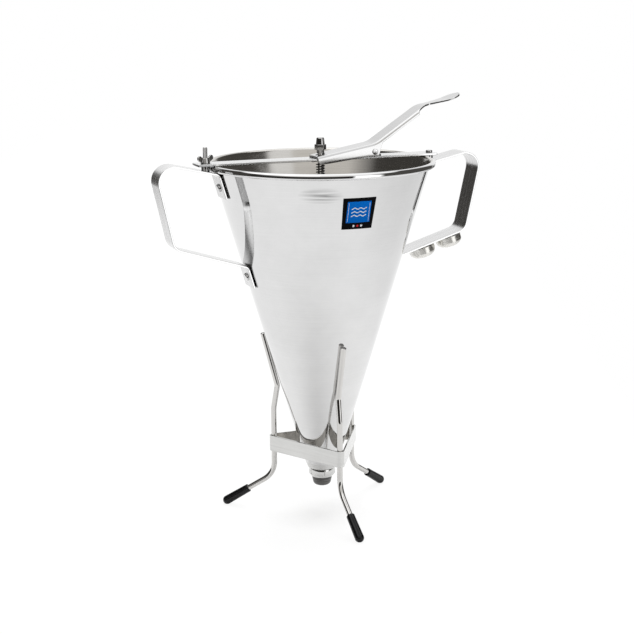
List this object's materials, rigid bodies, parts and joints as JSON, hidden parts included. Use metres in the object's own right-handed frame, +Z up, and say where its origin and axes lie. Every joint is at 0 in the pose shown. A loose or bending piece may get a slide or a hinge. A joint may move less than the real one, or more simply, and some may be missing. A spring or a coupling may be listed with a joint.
{
  "type": "sauce funnel with stand",
  "caption": "Polished steel sauce funnel with a spring valve worked by a thumb lever, strap handles and spare nozzles, standing in a three-legged wire stand.",
  "frame": {"origin": "on the table, on the funnel's axis", "axes": "+Z up along the funnel's axis, +X along the crossbar towards the thumb end of the lever, -Y towards the label and the front leg"},
  "size_m": [0.2944, 0.1988, 0.3703],
  "materials": {
    "polished_steel": "mirror-polished stainless steel",
    "satin_steel": "fine-turned stainless steel",
    "dark_steel": "plain drawn stainless steel",
    "black_rubber": "glossy dipped rubber",
    "printed_plate": "glossy printed plate, black with a blue field"
  },
  "bodies": {
    "stand": {"stand_band": "polished_steel", "stand_leg_front": "polished_steel", "stand_leg_right": "polished_steel", "stand_leg_left": "polished_steel", "foot_cap_front": "black_rubber", "foot_cap_right": "black_rubber", "foot_cap_left": "black_rubber"},
    "funnel": {"funnel_cone": "polished_steel", "outlet_socket": "satin_steel", "handle_left": "polished_steel", "handle_right": "polished_steel", "handle_rivets": "polished_steel", "crossbar": "polished_steel", "clamp_stud": "satin_steel", "clamp_collar": "satin_steel", "hook_stud": "satin_steel", "pivot_bracket": "polished_steel", "pivot_pin": "satin_steel", "nozzle_boss_inner": "satin_steel", "nozzle_boss_outer": "satin_steel", "label_plate": "printed_plate"},
    "piston": {"piston_rod": "satin_steel", "valve_plug": "satin_steel", "spring_collar": "satin_steel", "collar_pin": "satin_steel", "return_spring": "dark_steel", "cap_nut": "dark_steel"},
    "lever": {"lever": "polished_steel"},
    "wing_nut": {"wing_nut": "satin_steel"},
    "nozzle": {"nozzle": "satin_steel"},
    "spare_nozzle_inner": {"spare_nozzle_inner": "satin_steel"},
    "spare_nozzle_outer": {"spare_nozzle_outer": "satin_steel"}
  },
  "joints": [
    {"name": "funnel_lift", "type": "slide", "parent": "stand", "child": "funnel", "axis": [0, 0, 1], "range_m": [0, 0.16]},
    {"name": "lever_pivot", "type": "hinge", "parent": "funnel", "child": "lever", "pos_m": [0.0465, 0, 0.323], "axis": [0, 1, 0], "range_deg": [0, 14], "stiffness_Nm_per_rad": 0.5, "springref_deg": -20.05},
    {"name": "piston_slide", "type": "slide", "parent": "funnel", "child": "piston", "axis": [0, 0, 1], "range_m": [0, 0.0108], "deforming": ["return_spring"]},
    {"name": "wing_nut_turn", "type": "hinge", "parent": "funnel", "child": "wing_nut", "pos_m": [-0.1031, 0, 0.31915], "axis": [0, 0, 1], "continuous": true},
    {"name": "nozzle_turn", "type": "hinge", "parent": "funnel", "child": "nozzle", "pos_m": [0, 0, 0.0398], "axis": [0, 0, 1], "continuous": true},
    {"name": "spare_inner_turn", "type": "hinge", "parent": "funnel", "child": "spare_nozzle_inner", "pos_m": [0.09575, 0, 0.23663], "axis": [-0.2957, 0, 0.9553], "continuous": true},
    {"name": "spare_outer_turn", "type": "hinge", "parent": "funnel", "child": "spare_nozzle_outer", "pos_m": [0.12174, 0, 0.24468], "axis": [-0.2957, 0, 0.9553], "continuous": true}
  ],
  "couplings": [
    {"joint": "piston_slide", "follows": "lever_pivot", "m_per_rad": 0.044}
  ]
}
